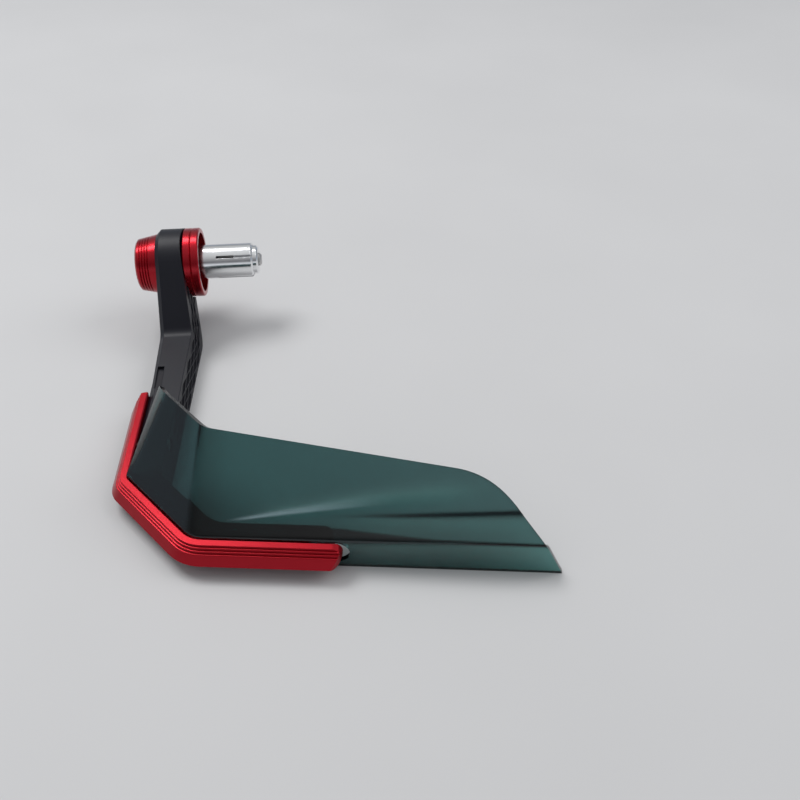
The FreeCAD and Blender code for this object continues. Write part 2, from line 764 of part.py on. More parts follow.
def clamp_bolt():
    seat = cap_outboard + head_sink + head_height
    head_end = cap_outboard + head_sink
    shank = bolt_diameter / 2.0
    tip = plug_reach + nut_head_length + bolt_nub
    chamfer = (bolt_diameter - bolt_tip_diameter) / 2.0
    head = head_diameter / 2.0
    bolt = turned([(head_end, 0.0), (head_end, head), (seat, head), (seat, shank),
                   (tip - chamfer, shank), (tip, bolt_tip_diameter / 2.0), (tip, 0.0)])
    corner = key_across_flats / math.sqrt(3.0)
    angles = [math.radians(60 * i) for i in range(6)]
    ring = [V(head_end - 1.0, corner * math.cos(a), corner * math.sin(a)) for a in angles]
    key = Part.Face(Part.makePolygon(ring + ring[:1])).extrude(V(key_depth + 1.0, 0, 0))
    return bolt.cut(key)


def rail_screws():
    return Part.makeCompound([screw_solid(place, 0.0) for place in screw_places()])


PARTS = {
    "guard_arm": guard_arm,
    "guard_bar": guard_bar,
    "wind_deflector": wind_deflector,
    "spacer_ring": spacer_ring,
    "bar_end_cap": bar_end_cap,
    "expander_sleeve": expander_sleeve,
    "cone_nut": cone_nut,
    "clamp_bolt": clamp_bolt,
    "rail_screws": rail_screws,
}

os.makedirs("parts", exist_ok=True)
for name, build in PARTS.items():
    shape = build()
    shape.exportStep("parts/%s.step" % name)
    state = "valid" if shape.isValid() else "INVALID"
    print(name, len(shape.Solids), "solid(s)", state, "%.0f mm3" % shape.Volume)
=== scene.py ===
# %% [markdown]
# # A motorcycle lever guard
# The guard is clamped into the end of a handlebar and keeps the brake lever from being pressed by
# accident. Its solid pieces come from the CAD model, which is loaded here as a fixed frame: every
# piece is already in its place, in metres. This lesson gives each of them its real surface, and
# replaces two: the folded sheet by one with soft folds, and the screws by ones with sockets.

# %% Load the frame
import math

import bmesh
import bpy
import numpy as np
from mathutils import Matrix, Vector


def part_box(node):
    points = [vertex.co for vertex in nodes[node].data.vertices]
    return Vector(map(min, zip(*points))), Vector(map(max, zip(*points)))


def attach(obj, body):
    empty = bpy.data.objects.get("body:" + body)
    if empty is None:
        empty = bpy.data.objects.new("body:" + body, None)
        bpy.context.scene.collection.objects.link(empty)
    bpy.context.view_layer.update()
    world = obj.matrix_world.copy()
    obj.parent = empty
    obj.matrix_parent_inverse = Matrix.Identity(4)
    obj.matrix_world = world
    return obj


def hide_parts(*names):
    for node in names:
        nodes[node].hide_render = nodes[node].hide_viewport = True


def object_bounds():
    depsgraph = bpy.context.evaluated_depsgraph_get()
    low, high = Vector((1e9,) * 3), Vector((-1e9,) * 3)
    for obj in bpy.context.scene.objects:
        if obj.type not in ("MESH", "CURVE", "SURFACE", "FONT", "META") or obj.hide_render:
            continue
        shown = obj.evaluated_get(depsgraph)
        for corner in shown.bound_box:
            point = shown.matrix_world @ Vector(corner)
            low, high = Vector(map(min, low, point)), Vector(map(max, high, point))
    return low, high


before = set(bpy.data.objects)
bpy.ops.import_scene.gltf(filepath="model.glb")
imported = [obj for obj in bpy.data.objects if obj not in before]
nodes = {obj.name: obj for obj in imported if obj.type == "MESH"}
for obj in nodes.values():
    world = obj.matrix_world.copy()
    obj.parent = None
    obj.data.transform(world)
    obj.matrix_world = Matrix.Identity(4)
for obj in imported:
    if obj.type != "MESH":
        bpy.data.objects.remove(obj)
cad_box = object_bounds()
MM = 0.001
print("pieces:", sorted(nodes))
print("CAD box in mm:", [tuple(round(c / MM, 1) for c in corner) for corner in cad_box])

# %% [markdown]
# ## Shader sums
# A surface's colour and gloss are worked out by small nodes wired together. Written one by one they
# hide the idea, so a socket is wrapped in a class that knows plus, minus and times. An expression
# such as `0.3 + 0.1 * grain` then adds the Math nodes by itself.

# %% A socket that takes part in sums
class Wire:
    """An output socket of a node tree. Operators on it add Math nodes."""

    def __init__(self, tree, socket=None):
        self.tree = tree
        self.socket = socket

    def make(self, kind, settings=None, inputs=None, output=0):
        """Adds any node: its settings first, then the values or wires of its sockets."""
        node = self.tree.nodes.new(kind)
        for name, value in (settings or {}).items():
            if name == "stops":
                ramp = node.color_ramp
                while len(ramp.elements) < len(value):
                    ramp.elements.new(0.5)
                for element, (position, colour) in zip(ramp.elements, value):
                    element.position = position
                    element.color = (*colour, 1.0)
            else:
                setattr(node, name, value)
        for name, value in (inputs or {}).items():
            if isinstance(value, Wire):
                self.tree.links.new(value.socket, node.inputs[name])
            else:
                node.inputs[name].default_value = value
        return Wire(self.tree, node.outputs[output])

    def math(self, operation, *values):
        """Math node with one operation on wires or numbers."""
        return self.make("ShaderNodeMath", {"operation": operation}, dict(enumerate(values)))

    def __add__(self, other):
        return self.math("ADD", self, other)

    def __sub__(self, other):
        return self.math("SUBTRACT", self, other)

    def __rsub__(self, other):
        return self.math("SUBTRACT", other, self)

    def __mul__(self, other):
        return self.math("MULTIPLY", self, other)

    __radd__ = __add__
    __rmul__ = __mul__


print("sockets take part in sums")

# %% [markdown]
# A few helpers stand on that class: a colour between two tones, noise whose size is given in millimetres,
# a material made from one shader, and a normal that makes sharp edges look slightly rounded, as real
# edges are.

# %% Helpers for finishes
def colour_between(amount, low, high):
    """Colour that goes from low to high as the wire amount goes from 0 to 1."""
    settings = {"stops": [(0.0, low), (1.0, high)]}
    return amount.make("ShaderNodeValToRGB", settings, {"Fac": amount})


def mixed(amount, low, high):
    """Colour between two colours or wires, by the wire amount."""
    settings = {"data_type": "RGBA"}
    return amount.make("ShaderNodeMix", settings, {0: amount, 6: low, 7: high}, 2)


def place_on_piece(tree):
    """Object coordinates as a vector and as three separate wires, in metres."""
    start = Wire(tree)
    point = start.make("ShaderNodeTexCoord", output=3)
    axes = [start.make("ShaderNodeSeparateXYZ", None, {"Vector": point}, i) for i in range(3)]
    return point, axes


def noise(point, size_mm, detail=3.0, roughness=0.55):
    """Smooth noise from 0 to 1 whose blotches are about size_mm across."""
    scale = 1.0 / (size_mm * MM)
    inputs = {"Vector": point, "Scale": scale, "Detail": detail, "Roughness": roughness}
    return point.make("ShaderNodeTexNoise", None, inputs)


def finish(name, surface, constants):
    """Material of one Principled shader: surface(point, axes) gives what varies, constants the rest."""
    material = bpy.data.materials.new(name)
    material.use_nodes = True
    tree = material.node_tree
    shader = next(n for n in tree.nodes if n.type == "BSDF_PRINCIPLED")
    for socket, value in constants.items():
        shader.inputs[socket].default_value = value
    for socket, wire in surface(*place_on_piece(tree)).items():
        tree.links.new(wire.socket, shader.inputs[socket])
    return material


def soft_edge(point, radius_mm, height=None, depth_mm=0.0):
    """Normal with edges rounded by radius_mm, and bumps of depth_mm where a height is given."""
    rounded = point.make("ShaderNodeBevel", {"samples": 8}, {"Radius": radius_mm * MM})
    if height is None:
        return rounded
    inputs = {"Height": height, "Distance": depth_mm * MM, "Strength": 1.0, "Normal": rounded}
    return point.make("ShaderNodeBump", None, inputs)


print("shader tools ready")

# %% [markdown]
# ## Black moulded nylon
# The arm is injection moulded and has a fine spark-eroded grain, a little uneven in gloss. A flat
# black would lose the form, so the tone is a very dark blue grey and the grain breaks up the gloss.

# %% Moulded nylon
def nylon_surface(point, axes):
    """Very dark tone by slow clouds, with gloss and bumps by a fine grain."""
    cloud = noise(point, 14.0)
    grain = noise(point, 0.35, detail=2.0)
    return {
        "Base Color": colour_between(cloud, (0.006, 0.0065, 0.011), (0.010, 0.0105, 0.0165)),
        "Roughness": 0.34 + 0.10 * cloud + 0.06 * grain,
        "Normal": soft_edge(point, 0.5, grain, 0.012),
    }


moulded_nylon = finish("moulded_nylon", nylon_surface, {"Specular IOR Level": 0.3})
print("made", moulded_nylon.name)

# %% [markdown]
# ## Red anodising
# Anodised aluminium is metal under a thin dyed glassy skin: the metal gives coloured reflections and
# the skin a faint white gloss on top. The rail was blasted before it was dyed, so it is satin. The
# ring and the cap were turned, and fine lines run round them.

# %% Blasted rail
RED_DEEP = (0.32, 0.002, 0.009)
RED_CLEAR = (0.43, 0.004, 0.015)


def blasted_surface(point, axes):
    """Red by clouds and a fine speckle, which also gives the satin gloss."""
    cloud = noise(point, 9.0)
    speckle = noise(point, 0.22, detail=2.0)
    return {
        "Base Color": colour_between(0.75 * cloud + 0.25 * speckle, RED_DEEP, RED_CLEAR),
        "Roughness": 0.25 + 0.06 * cloud + 0.06 * speckle,
        "Normal": soft_edge(point, 0.18, speckle, 0.005),
    }


anodised = {"Metallic": 0.75, "Coat Weight": 0.06, "Coat Roughness": 0.2}
red_blasted = finish("red_blasted", blasted_surface, anodised)
print("made", red_blasted.name)

# %% Turned ring and cap
def turned_lines(point, axes, pitch_mm):
    """Fine lines round the X axis: noise read only along x and along the distance from the axis."""
    x, y, z = axes
    squared = y * y + z * z
    radius = squared.math("SQRT", squared)
    along = point.make("ShaderNodeCombineXYZ", None, {"X": x, "Y": radius})
    return noise(along, pitch_mm, detail=3.0, roughness=0.7)


def turned_red_surface(point, axes):
    """Red, gloss and bumps by the turned lines, with slow clouds in the red."""
    lines = turned_lines(point, axes, 0.18)
    cloud = noise(point, 7.0)
    return {
        "Base Color": colour_between(0.6 * cloud + 0.4 * lines, RED_DEEP, RED_CLEAR),
        "Roughness": 0.20 + 0.12 * lines,
        "Normal": soft_edge(point, 0.2, lines, 0.006),
    }


bright_anodised = {"Metallic": 0.85, "Coat Weight": 0.25, "Coat Roughness": 0.12}
red_turned = finish("red_turned", turned_red_surface, bright_anodised)
print("made", red_turned.name)

# %% [markdown]
# ## Bright metal
# The sleeve and its nut are polished aluminium, and the bolt and screws are zinc plated steel. The
# same turned lines, finer and shallower, keep the polish from looking like a mirror.

# %% Polished aluminium and plated steel
def polished_surface(point, axes):
    """Pale metal with slow smears, and gloss and bumps by the turned lines."""
    lines = turned_lines(point, axes, 0.12)
    smear = noise(point, 4.0)
    return {
        "Base Color": colour_between(smear, (0.80, 0.81, 0.82), (0.90, 0.905, 0.91)),
        "Roughness": 0.10 + 0.08 * lines + 0.05 * smear,
        "Normal": soft_edge(point, 0.2, lines, 0.003),
    }


def plated_surface(point, axes):
    """Zinc grey from bluish to yellowish by clouds, which change its gloss too."""
    cloud = noise(point, 2.0)
    return {
        "Base Color": colour_between(cloud, (0.42, 0.42, 0.44), (0.60, 0.59, 0.56)),
        "Roughness": 0.22 + 0.16 * cloud,
        "Normal": soft_edge(point, 0.15),
    }


polished_aluminium = finish("polished_aluminium", polished_surface, {"Metallic": 1.0})
plated_steel = finish("plated_steel", plated_surface, {"Metallic": 1.0})
print("made", polished_aluminium.name, plated_steel.name)

# %% [markdown]
# ## Smoked sheet
# The deflector is clear polycarbonate dyed a grey green. What lies behind it shows through darkened, so
# the shader lets light pass and bends it. Light and shade are also painted into its colour: painted shade
# as dark lines at the bends and over the slanting part, and painted light that makes the tip paler and
# puts a highlight along the ridge. The mesh keeps a number for each of these at every point, worked out
# further down with the sheet's shape, and the colour follows those numbers.

# %% Smoked polycarbonate
DYE_LOW = (0.034, 0.106, 0.108)
DYE_HIGH = (0.042, 0.128, 0.128)
# Tints for painted light and shade: pale for painted light, paler still for a painted highlight, near
# black for painted shade.
PAINTED_LIGHT_TINT = (0.085, 0.250, 0.235, 1.0)
PAINTED_HIGHLIGHT_TINT = (0.44, 0.60, 0.65, 1.0)
PAINTED_SHADE_TINT = (0.002, 0.004, 0.006, 1.0)


def remembered(point, name):
    """A number that the mesh keeps for each of its points."""
    return point.make("ShaderNodeAttribute", {"attribute_name": name}, output=2)


def smoked_surface(point, axes):
    """Dye with painted light, paler by the tip and ridge numbers, and a painted highlight by its own
    number; then painted shade by the largest of the other three.
    """
    cloud = noise(point, 30.0)
    names = ("by_bend", "by_step", "by_slant", "by_tip", "by_ridge", "by_streak")
    bend_shade, crease_shade, slant_shade, tip_light, ridge, streak_highlight = (remembered(point, name) for name in names)
    tint = colour_between(cloud, DYE_LOW, DYE_HIGH)
    # Painted light: paler at the tip and along the ridge, then a painted highlight where the ridge starts.
    tint = mixed(0.9 * tip_light + 0.4 * ridge, tint, PAINTED_LIGHT_TINT)
    tint = mixed(0.85 * streak_highlight, tint, PAINTED_HIGHLIGHT_TINT)
    # Painted shade: the largest of the bend, crease and slant numbers darkens the colour.
    bend_shade_part = 0.94 * bend_shade
    painted_shade = bend_shade_part.math("MAXIMUM", bend_shade_part, 0.94 * crease_shade)
    painted_shade = painted_shade.math("MAXIMUM", painted_shade, 0.32 * slant_shade)
    return {
        "Base Color": mixed(painted_shade, tint, PAINTED_SHADE_TINT),
        "Roughness": 0.02 + 0.03 * cloud,
    }


def edge_surface(point, axes):
    """The cut edge, through which light takes the longest way."""
    cloud = noise(point, 3.0)
    return {
        "Base Color": colour_between(cloud, (0.008, 0.020, 0.022), (0.014, 0.034, 0.036)),
        "Roughness": 0.12 + 0.10 * cloud,
    }


clear = {"Transmission Weight": 1.0, "IOR": 1.5}
smoked_sheet = finish("smoked_sheet", smoked_surface, clear)
smoked_edge = finish("smoked_edge", edge_surface, clear)
print("made", smoked_sheet.name, smoked_edge.name)

# %% [markdown]
# ## The folded sheet
# The real deflector is one sheet, formed hot over a mould: an upright foot behind the rail, a bend, and
# a panel that leans back, folds once in plan and gets a crease towards its tip. The CAD solid has the
# same form in flat strips. Reflections show every strip, so here it is one smooth grid: one parameter
# runs along the foot and the other up the section. First come the two lines in plan that carry it, the
# foot and the top edge, in millimetres and degrees.

# %% Lines of the foot and of the top edge in plan
SIDE_START_Y = -54.0
SIDE_HEADING = 2.0
CORNER_ONE_Y = -120.8
SLANT_HEADING = 50.3
SLANT_LENGTH = 41.8
FRONT_HEADING = 7.4
SLANT_LEAN = 22.4
FRONT_LEAN = 27.6
SLANT_TOP_HEADING = 52.0
FRONT_TOP_HEADING = 8.5


def heading(degrees):
    """Plan direction of a run, cosine and minus sine: inboard at 0 degrees, straight ahead at 90."""
    return np.array([np.cos(np.radians(degrees)), -np.sin(np.radians(degrees))])


def inward(run):
    """Plan normal of a run, towards the hand: the run turned by a right angle."""
    return np.array([-run[1], run[0]])


def meet(p, d, q, e):
    """Point where the line through p along d meets the line through q along e."""
    return p + d * np.linalg.solve(np.column_stack([d, -e]), q - p)[0]


slant_run = heading(SLANT_HEADING)
front_run = heading(FRONT_HEADING)
slant_in = inward(slant_run)
front_in = inward(front_run)
slant_top_run = heading(SLANT_TOP_HEADING)
front_top_run = heading(FRONT_TOP_HEADING)
route_start = np.array([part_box("bar_end_cap")[1].x / MM, SIDE_START_Y])
side_slope = math.tan(math.radians(SIDE_HEADING))
corner_one = route_start + (SIDE_START_Y - CORNER_ONE_Y) * np.array([-side_slope, -1.0])
corner_two = corner_one + SLANT_LENGTH * slant_run
over_slant = corner_one + SLANT_LEAN * slant_in
over_front = corner_two + FRONT_LEAN * front_in
top_kink = meet(over_slant, slant_run, over_front, front_run)
print("corners in plan:", corner_one.round(1), corner_two.round(1), "top fold:", top_kink.round(1))

# %% [markdown]
# Along the foot the section changes little by little. A few stations fix it: the flared outer edge, the
# fold, the place where the crease starts, where it is full, and the tip. At each of them stands a pair of
# points, one on the foot and one on the top edge. The flare and the fold are curved in plan, so they get a
# row of stations each.

# %% Stations of the flared edge and the fold
FOLD_RADIUS = 11.0
TOP_FOLD_RADIUS = 7.0
EDGE_START = -0.6
FOOT_START = 2.3
EDGE_FLARE = 6.4
EDGE_DROP = 2.8
EDGE_STATIONS = 13
FOLD_STATIONS = 29


def mix(a, b, share):
    """Value a share of the way from a to b."""
    return a + (b - a) * share


def arc(corner, before, after, radius, share):
    """Points at shares of the way round the arc that blends two runs at a corner.

    Each is the arc's centre, plus the radius times the sine along the first run and minus the cosine
    along that run's normal.
    """
    turn = np.arccos(before @ after)
    centre = corner - before * radius * np.tan(turn / 2) + inward(before) * radius
    angle = turn * share[:, None]
    return centre + radius * (before * np.sin(angle) - inward(before) * np.cos(angle))


edge_share = np.linspace(0.0, 1.0, EDGE_STATIONS)
edge_foot = corner_one + slant_run * mix(EDGE_START, FOOT_START, edge_share)[:, None]
edge_square = np.array([meet(p, slant_in, top_kink, slant_top_run) for p in edge_foot])
edge_top = edge_square - slant_top_run * (EDGE_FLARE * (1.0 - edge_share))[:, None]
edge_drop = EDGE_DROP * (1.0 - edge_share) ** 2
fold_share = np.linspace(0.0, 1.0, FOLD_STATIONS)
fold_foot = arc(corner_two, slant_run, front_run, FOLD_RADIUS, fold_share)
fold_top = arc(top_kink, slant_top_run, front_top_run, TOP_FOLD_RADIUS, fold_share)
print("stations at the edge:", len(edge_foot), "and round the fold:", len(fold_foot))

# %% [markdown]
# Three stations are enough for the straight front run. Its top edge falls gently, and at the tip the panel
# lies flatter, so there the height follows from the crease and the panel's slope. All stations then come
# together, each with its length along the foot.

# %% Stations of the front run
CREASE_START = 62.0
CREASE_FULL = 102.0
SHEET_END = 140.0
TOP_HEIGHT = 42.2
TOP_SLOPE = 9.7
TIP_PANEL_SLOPE = 20.0
CREASE_INSET_TIP = 11.6
CREASE_HEIGHT = 18.7
CREASE_BAND = 1.4
CREASE_STEP = 1.7


def top_over(point):
    """Where the top edge's line lies square across from a point on the front foot."""
    return meet(point, front_in, top_kink, front_top_run)


def top_edge_height(x):
    """Height of the top edge: level up to the fold, then falling at its slope."""
    return TOP_HEIGHT - math.tan(math.radians(TOP_SLOPE)) * np.maximum(0.0, x - top_kink[0])


front_foot = corner_two + front_run * np.array([[CREASE_START], [CREASE_FULL], [SHEET_END]])
front_top = np.array([top_over(p) for p in front_foot])
tip_lean = np.linalg.norm(front_top[2] - front_foot[2])
tip_rise = (tip_lean - CREASE_INSET_TIP - CREASE_BAND) * math.tan(math.radians(TIP_PANEL_SLOPE))
front_top_height = np.append(top_edge_height(front_top[:2, 0]), CREASE_HEIGHT + CREASE_STEP + tip_rise)

key_foot = np.vstack([edge_foot, fold_foot, front_foot])
key_top = np.vstack([edge_top, fold_top, front_top])
key_height = np.concatenate([np.full(EDGE_STATIONS + FOLD_STATIONS, TOP_HEIGHT), front_top_height])
key_drop = np.concatenate([edge_drop, np.zeros(FOLD_STATIONS + len(front_foot))])
key_length = np.append(0.0, np.cumsum(np.linalg.norm(np.diff(key_foot, axis=0), axis=1)))
print("stations:", len(key_length), "along", key_length[-1].round(1), "mm of foot")

# %% [markdown]
# Between the stations everything is interpolated along the foot's length, here called u. Sections stand
# closer together where the form changes fast: at the flared edge, round the fold, and at the ends of a
# slot in the foot, where they follow a cosine.

# %% Sections between the stations
CREASE_LEAD = 10.0
TIP_X = 138.0
SLOT_START = 41.4
SLOT_END = 57.4
SLANT_SECTIONS = 14
BEFORE_SLOT_SECTIONS = 16
SLOT_SECTIONS = 41
TIP_SECTIONS = 96
JUST_BEFORE = 1e-3


def smooth_step(value, start, end):
    """0 before start, 1 after end, and an even S curve between them: 3 s squared minus 2 s cubed."""
    share = np.clip((value - start) / (end - start), 0.0, 1.0)
    return share * share * (3.0 - 2.0 * share)


edge_end = key_length[EDGE_STATIONS - 1]
fold_start = key_length[EDGE_STATIONS]
fold_end = key_length[EDGE_STATIONS + FOLD_STATIONS - 1]
front_zero = key_length[-1] - SHEET_END
slot_swing = (1.0 - np.cos(np.linspace(0.0, np.pi, SLOT_SECTIONS))) / 2.0
tip_length = (TIP_X - corner_two[0]) / front_run[0]
u = np.unique(np.concatenate([
    key_length[:EDGE_STATIONS],
    [edge_end - JUST_BEFORE],
    np.linspace(edge_end, fold_start, SLANT_SECTIONS),
    np.linspace(fold_start, fold_end, FOLD_STATIONS),
    np.linspace(fold_end, front_zero + SLOT_START, BEFORE_SLOT_SECTIONS),
    front_zero + mix(SLOT_START, SLOT_END, slot_swing),
    np.linspace(front_zero + SLOT_END, front_zero + tip_length, TIP_SECTIONS),
]))


def at_u(values):
    """Values given at the stations, interpolated at every u."""
    return np.interp(u, key_length, values)


foot = np.stack([at_u(key_foot[:, 0]), at_u(key_foot[:, 1])], axis=-1)
top = np.stack([at_u(key_top[:, 0]), at_u(key_top[:, 1])], axis=-1)
lean = np.linalg.norm(top - foot, axis=1)
facing = (top - foot) / lean[:, None]
front = u - front_zero
crease_begin = CREASE_START - CREASE_LEAD
crease = smooth_step(front, crease_begin, CREASE_FULL)
print("sections along the sheet:", len(u))

# %% [markdown]
# One section is a line of four straight runs: the foot, the lower panel, the crease's step and the upper
# panel. Its corners are pairs of a distance r from the foot and a height z. Away from the crease they lie
# on the plain panel, and towards the tip they move to where the crease has them.

# %% Corners of the sections
FOOT_HEIGHT = 13.4
FOOT_HEIGHT_TIP = 15.2
CREASE_INSET = 6.5
SPARE = 6.0

height = at_u(key_height)
foot_height = mix(FOOT_HEIGHT, FOOT_HEIGHT_TIP, crease)


def on_panel(r):
    """Height of the plain panel at r from the foot, before any crease."""
    return foot_height + (height - foot_height) * r / lean


low_r = np.interp(front, [crease_begin, tip_length], [CREASE_INSET, CREASE_INSET_TIP])
high_r = low_r + CREASE_BAND
creased_z = foot_height + (CREASE_HEIGHT - foot_height) * low_r / CREASE_INSET_TIP
low_z = mix(on_panel(low_r), creased_z, crease)
high_z = mix(on_panel(high_r), creased_z + CREASE_STEP, crease)
zero = np.zeros_like(u)
r = np.stack([zero, zero, low_r, high_r, lean], axis=1)
z = np.stack([zero, foot_height, low_z, high_z, height], axis=1)
sink = at_u(key_drop) / np.hypot(lean, height - foot_height)
r[:, 2:] += (sink * (height - foot_height) / lean)[:, None] * r[:, 2:]
z[:, 2:] -= sink[:, None] * r[:, 2:]
corners = np.stack([r, z], axis=-1)
runs = np.diff(corners, axis=1)
run_length = np.linalg.norm(runs, axis=2)
runs = runs / run_length[:, :, None]
corners[:, -1] += SPARE * runs[:, -1]
print("corners in one section:", corners.shape[1], "and runs:", runs.shape[1])

# %% [markdown]
# Where two runs meet, a quadratic curve from a little before the corner to a little after it makes the
# bend, so the light slides over it as over a real hot bend.

# %% Section lines with soft bends
FOOT_BEND_RADIUS = 2.4
FOOT_BEND_RADIUS_WIDE = 5.0
CREASE_RADIUS = 2.2
FOOT_BEND_POINTS = 15
CREASE_BEND_POINTS = 8
MOST_OF_RUN = 0.45
LEAST_REACH = 0.05

radius_places = [0.0, CREASE_START, CREASE_FULL]
radius_there = [FOOT_BEND_RADIUS, FOOT_BEND_RADIUS_WIDE, FOOT_BEND_RADIUS]
bend_radius = np.interp(front, radius_places, radius_there)


def soft_bend(i, radius, count):
    """Points round corner i: the quadratic curve that leaves one run and joins the next.

    With t from 0 to 1, a point is the corner, less the run before it times (1 - t) squared, plus the run
    after it times t squared, both times the reach.
    """
    before = runs[:, i - 1]
    after = runs[:, i]
    turn = np.arccos(np.clip(np.sum(before * after, axis=1), -1.0, 1.0))
    shorter = np.minimum(run_length[:, i - 1], run_length[:, i])
    reach = np.minimum(radius * np.tan(turn / 2), MOST_OF_RUN * shorter)
    reach = np.maximum(reach, LEAST_REACH)[:, None, None]
    t = np.linspace(0.0, 1.0, count)[None, :, None]
    return corners[:, i, None] - before[:, None] * reach * (1 - t) ** 2 + after[:, None] * reach * t ** 2


foot_bend = soft_bend(1, bend_radius, FOOT_BEND_POINTS)
low_bend = soft_bend(2, CREASE_RADIUS, CREASE_BEND_POINTS)
high_bend = soft_bend(3, CREASE_RADIUS, CREASE_BEND_POINTS)
line = np.concatenate([corners[:, :1], foot_bend, low_bend, high_bend, corners[:, -1:]], axis=1)
length = np.cumsum(np.linalg.norm(np.diff(line, axis=1, prepend=line[:, :1]), axis=2), axis=1)
print("points in one section line:", line.shape[1])

# %% [markdown]
# A section can now be asked for the point at any length along it, and that point set up in space. A small
# gap keeps the sheet off the back of the rail.

# %% Points on the sections
SHEET_GAP = 0.15
FLOOR = cad_box[0].z / MM


def at_length(s):
    """Points of every section at lengths s along it: (r, z) for each section and each length."""
    both = [[np.interp(si, li, pi[:, k]) for k in range(2)] for si, li, pi in zip(s, length, line)]
    return np.array(both).transpose(0, 2, 1)


def in_space(points):
    """Section points (r, z) in space, in mm: the foot's point plus r the way it faces, and z up."""
    plan = foot[:, None] + facing[:, None] * (points[:, :, :1] + SHEET_GAP)
    return np.concatenate([plan, points[:, :, 1:] + FLOOR], axis=2)


print("the sheet starts at", in_space(corners[:, :1])[0, 0].round(1), "mm")

# %% [markdown]
# The blank was cut out with one outline, which is drawn here as seen square to the panels. Two straight
# lines meet in each of its corners. The smaller of the distances to them, with its own corner rounded,
# says how far a point lies inside.

# %% Distances to rounded lines
PANEL_VIEW_LEAN = 50.0

view = math.radians(PANEL_VIEW_LEAN)


def seen(points):
    """Points in space as seen square to the panels: x, and the way up the panel."""
    points = np.asarray(points, float)
    way_up = points[..., 1] * math.cos(view) + points[..., 2] * math.sin(view)
    return np.stack([points[..., 0], way_up], axis=-1)


def raised(point, above_floor):
    """A point in plan, set up at a height over the floor."""
    return np.array([*point, FLOOR + above_floor])


def front_point(x, inset, above_floor):
    """Point at x on the line that runs beside the front foot at an inset."""
    base = corner_two + inset * front_in
    return raised(base + front_run * (x - base[0]) / front_run[0], above_floor)


def inside(points, a, b):
    """Distance of points to the right of the line from a to b: the cross product with its direction."""
    d = (b - a) / np.linalg.norm(b - a)
    return (points[..., 0] - a[0]) * d[1] - (points[..., 1] - a[1]) * d[0]


def blend_low(p, q, width):
    """The smaller of p and q, with the corner between them rounded by a parabola over a width."""
    near = np.maximum(width - np.abs(p - q), 0.0) / width
    return np.minimum(p, q) - near * near * width / 4.0


def rounding(a, b, c, radius):
    """Width for blend_low that rounds the corner a, b, c to a radius."""
    p = (b - a) / np.linalg.norm(b - a)
    q = (c - b) / np.linalg.norm(c - b)
    return 4.0 * radius * (1.0 - math.cos(math.acos(p @ q) / 2.0))


print("the top fold as seen square to the panels:", seen(raised(top_kink, TOP_HEIGHT)).round(1), "mm")

# %% [markdown]
# The outline runs along the sloping top edge, round a wide shoulder and straight down to the tip. Below
# the bend it is the foot's own end, seen from the front.

# %% Outline of the blank
NOSE_X = 130.9
SHOULDER_X = 124.2
SHOULDER_RADIUS = 32.0
TOP_ROUND = 14.0

kink = seen(raised(top_kink, TOP_HEIGHT))
outer_end = seen(raised(top_kink - slant_top_run * SLANT_LENGTH, TOP_HEIGHT))
past_kink = top_kink + front_top_run * SLANT_LENGTH
top_end = seen(raised(past_kink, top_edge_height(past_kink[0])))
nose = seen(front_point(NOSE_X, 0.0, FOOT_HEIGHT_TIP))
crease_end = seen(front_point(SHOULDER_X, CREASE_INSET_TIP, CREASE_HEIGHT))
fold_width = rounding(outer_end, kink, top_end, TOP_ROUND)
free_edge = (nose - crease_end) / np.linalg.norm(nose - crease_end)
shoulder_width = rounding(kink, top_end, top_end + free_edge, SHOULDER_RADIUS)
tip = np.array([TIP_X, 0.0])
tip_top = np.array([NOSE_X, FOOT_HEIGHT_TIP])


def in_outline(points):
    """Positive inside the cut blank: under the top edge, and outboard of the free edge."""
    flat = seen(points)
    under_top = -blend_low(-inside(flat, outer_end, kink), -inside(flat, kink, top_end), fold_width)
    panel = blend_low(under_top, inside(flat, crease_end, nose), shoulder_width)
    upright = points[..., [0, 2]] - np.array([0.0, FLOOR])
    return np.minimum(panel, inside(upright, tip_top, tip))


print("rounded over, in mm: fold", round(fold_width, 1), "and shoulder", round(shoulder_width, 1))

# %% [markdown]
# Each section is followed upwards in small steps until it leaves that outline. It ends between the last
# step inside and the first one outside, in proportion to their distances from the line.

# %% Cut the sections at the outline
SEARCH_STEPS = 900

steps = np.linspace(0.0, 1.0, SEARCH_STEPS) * length[:, -1:]
room = in_outline(in_space(at_length(steps)))
first_out = np.argmax(room < 0.0, axis=1)
last_in = np.maximum(first_out - 1, 0)
row = np.arange(len(u))
gap = room[row, last_in] - room[row, first_out]
part = np.where(first_out > 0, room[row, last_in] / np.where(gap == 0.0, 1.0, gap), 0.0)
end_length = mix(steps[row, last_in], steps[row, first_out], part)
print("tallest section of the sheet, along its panel:", end_length.max().round(1), "mm")

# %% [markdown]
# The foot has a slot with round ends, through which the rail is screwed to the arm. The grid's rows part
# round it: one row follows its lower rim, the next its upper rim, and no faces fill the space between.

# %% Rows of the grid, and the slot
SLOT_HEIGHT = 10.0
SLOT_MIDDLE = 7.6
NOTCH_HEIGHT = 13.4
UNDER_SLOT_ROWS = 6
OVER_SLOT_ROWS = 20
LOWER_PANEL_ROWS = 25
STEP_ROWS = 9
UPPER_PANEL_ROWS = 64


def length_at_height(above_floor):
    """Length along every section at which it reaches a height over the floor."""
    return np.array([np.interp(h, p[:, 1], s) for h, p, s in zip(above_floor, line, length)])


def spread(a, b, count):
    """Lengths from a to b for every section, evenly spaced."""
    return mix(a[:, None], b[:, None], np.linspace(0.0, 1.0, count)[None])


